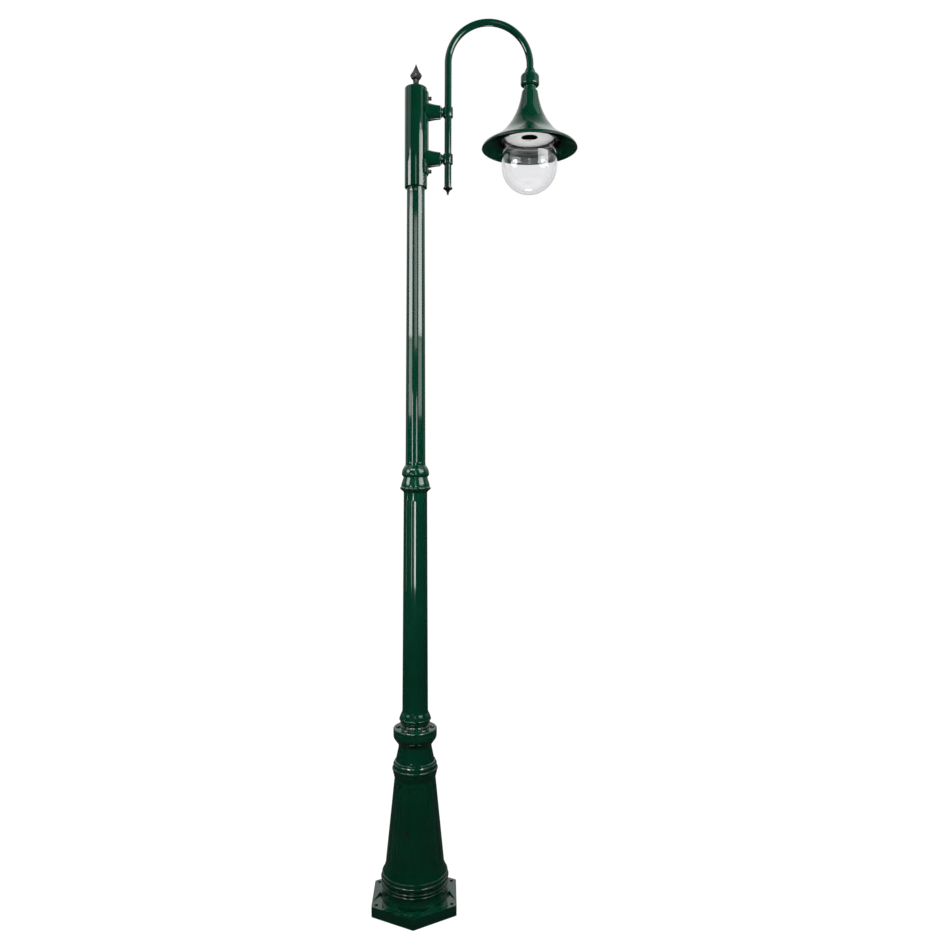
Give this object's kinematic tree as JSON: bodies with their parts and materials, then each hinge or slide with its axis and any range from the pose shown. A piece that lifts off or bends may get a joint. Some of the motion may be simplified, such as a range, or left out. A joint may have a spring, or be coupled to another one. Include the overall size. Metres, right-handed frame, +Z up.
{
  "type": "street lamp post",
  "caption": "Free-standing lamp post: hexagonal cast base, fluted post, swivelling sleeve bracket, swan-neck arm, bell shade and clear globe.",
  "frame": {"origin": "centre of the base's underside, on the axis of the post", "axes": "+Z up the post, +X from the post towards the lamp, +Y away from the front corner of the hexagonal foot"},
  "size_m": [0.6398, 0.309, 2.809],
  "materials": {
    "paint": null,
    "finial_black": "satin black paint",
    "fasteners": "dulled zinc-plated steel",
    "globe_glass": "clear glass",
    "reflector_white": "white stove enamel",
    "lampholder": "dark moulded phenolic",
    "contacts": "plain brass",
    "gasket": "black sealing rubber"
  },
  "bodies": {
    "post": {"base_casting": "paint", "base_plug": "gasket", "lower_post": "paint", "mid_collar": "paint", "upper_post": "paint", "collar_grub_lower": "fasteners", "collar_grub_upper": "fasteners", "foot_screw_1": "fasteners", "foot_screw_2": "fasteners", "foot_screw_3": "fasteners", "foot_screw_4": "fasteners", "foot_screw_5": "fasteners", "foot_screw_6": "fasteners"},
    "bracket": {"bracket_sleeve": "paint", "saddle_plate": "paint", "top_finial": "finial_black", "finial_nut": "fasteners", "saddle_bolt_upper": "fasteners", "saddle_washer_upper": "fasteners", "bracket_arm_upper": "paint", "clamp_ring_upper": "paint", "clamp_screw_upper": "fasteners", "saddle_bolt_lower": "fasteners", "saddle_washer_lower": "fasteners", "bracket_arm_lower": "paint", "clamp_ring_lower": "paint", "clamp_screw_lower": "fasteners"},
    "arm": {"swan_neck": "paint", "lower_finial": "finial_black", "coupling_nut": "paint", "ball_coupling": "paint", "shade_neck": "paint", "shade": "paint", "nipple": "fasteners", "nipple_nut_upper": "fasteners", "nipple_nut_lower": "fasteners", "lampholder_bracket": "fasteners", "lampholder_body": "lampholder", "lampholder_shell": "contacts", "lampholder_contact": "contacts", "gallery_ring": "finial_black", "reflector_disc": "reflector_white", "gallery_screw_left": "fasteners", "gallery_screw_right": "fasteners", "globe_gasket": "gasket", "terminal_block": "lampholder", "terminal_screw_1": "contacts", "terminal_screw_2": "contacts"},
    "globe": {"globe": "globe_glass"}
  },
  "joints": [
    {"name": "bracket_swivel", "type": "hinge", "parent": "post", "child": "bracket", "pos_m": [0, 0, 2.44], "axis": [0, 0, 1], "range_deg": [-170, 170]},
    {"name": "arm_swivel", "type": "hinge", "parent": "bracket", "child": "arm", "pos_m": [0.1, 0, 2.447], "axis": [0, 0, 1], "range_deg": [-90, 90]},
    {"name": "globe_turn", "type": "hinge", "parent": "arm", "child": "globe", "pos_m": [0.356, 0, 2.43], "axis": [0, 0, -1], "range_deg": [0, 90]}
  ]
}
